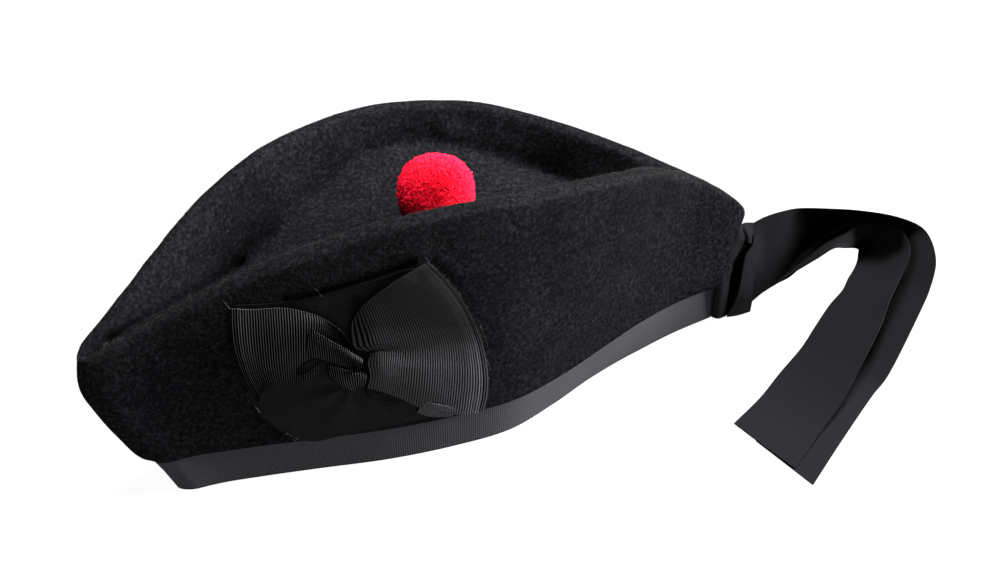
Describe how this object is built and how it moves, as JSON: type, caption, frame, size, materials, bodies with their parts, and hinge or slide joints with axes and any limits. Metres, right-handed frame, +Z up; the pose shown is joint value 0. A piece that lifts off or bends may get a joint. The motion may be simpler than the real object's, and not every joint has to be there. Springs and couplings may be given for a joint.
{
  "type": "glengarry",
  "caption": "Dark wool glengarry with a creased crown, a red toorie, a ribbed rosette bow on its left side and ribbon tails behind.",
  "frame": {"origin": "on the floor below the middle of the whole part's box, tails included", "axes": "+X from the hat's front to its rear, +Y to the wearer's right, +Z up"},
  "size_m": [0.3978, 0.1908, 0.115],
  "materials": {
    "wool_felt": "milled blue-black wool felt with a short nap, matt",
    "band_ribbon": "charcoal grosgrain ribbon with fine cross ribs, low sheen",
    "backing_cloth": "black satin-faced ribbon, soft sheen",
    "bow_ribbon": "black grosgrain ribbon with clear cross ribs, low sheen",
    "tail_ribbon": "charcoal grosgrain ribbon with very fine ribs, low sheen",
    "red_wool": "clipped scarlet wool yarn, matt"
  },
  "bodies": {
    "root": {"felt_body": "wool_felt", "headband": "band_ribbon", "rosette_backing": "backing_cloth", "rosette_bow": "bow_ribbon", "toorie": "red_wool", "rear_tie": "band_ribbon", "tie_fold": "band_ribbon", "tail_ribbon_outer": "tail_ribbon", "tail_ribbon_inner": "tail_ribbon"}
  },
  "joints": []
}
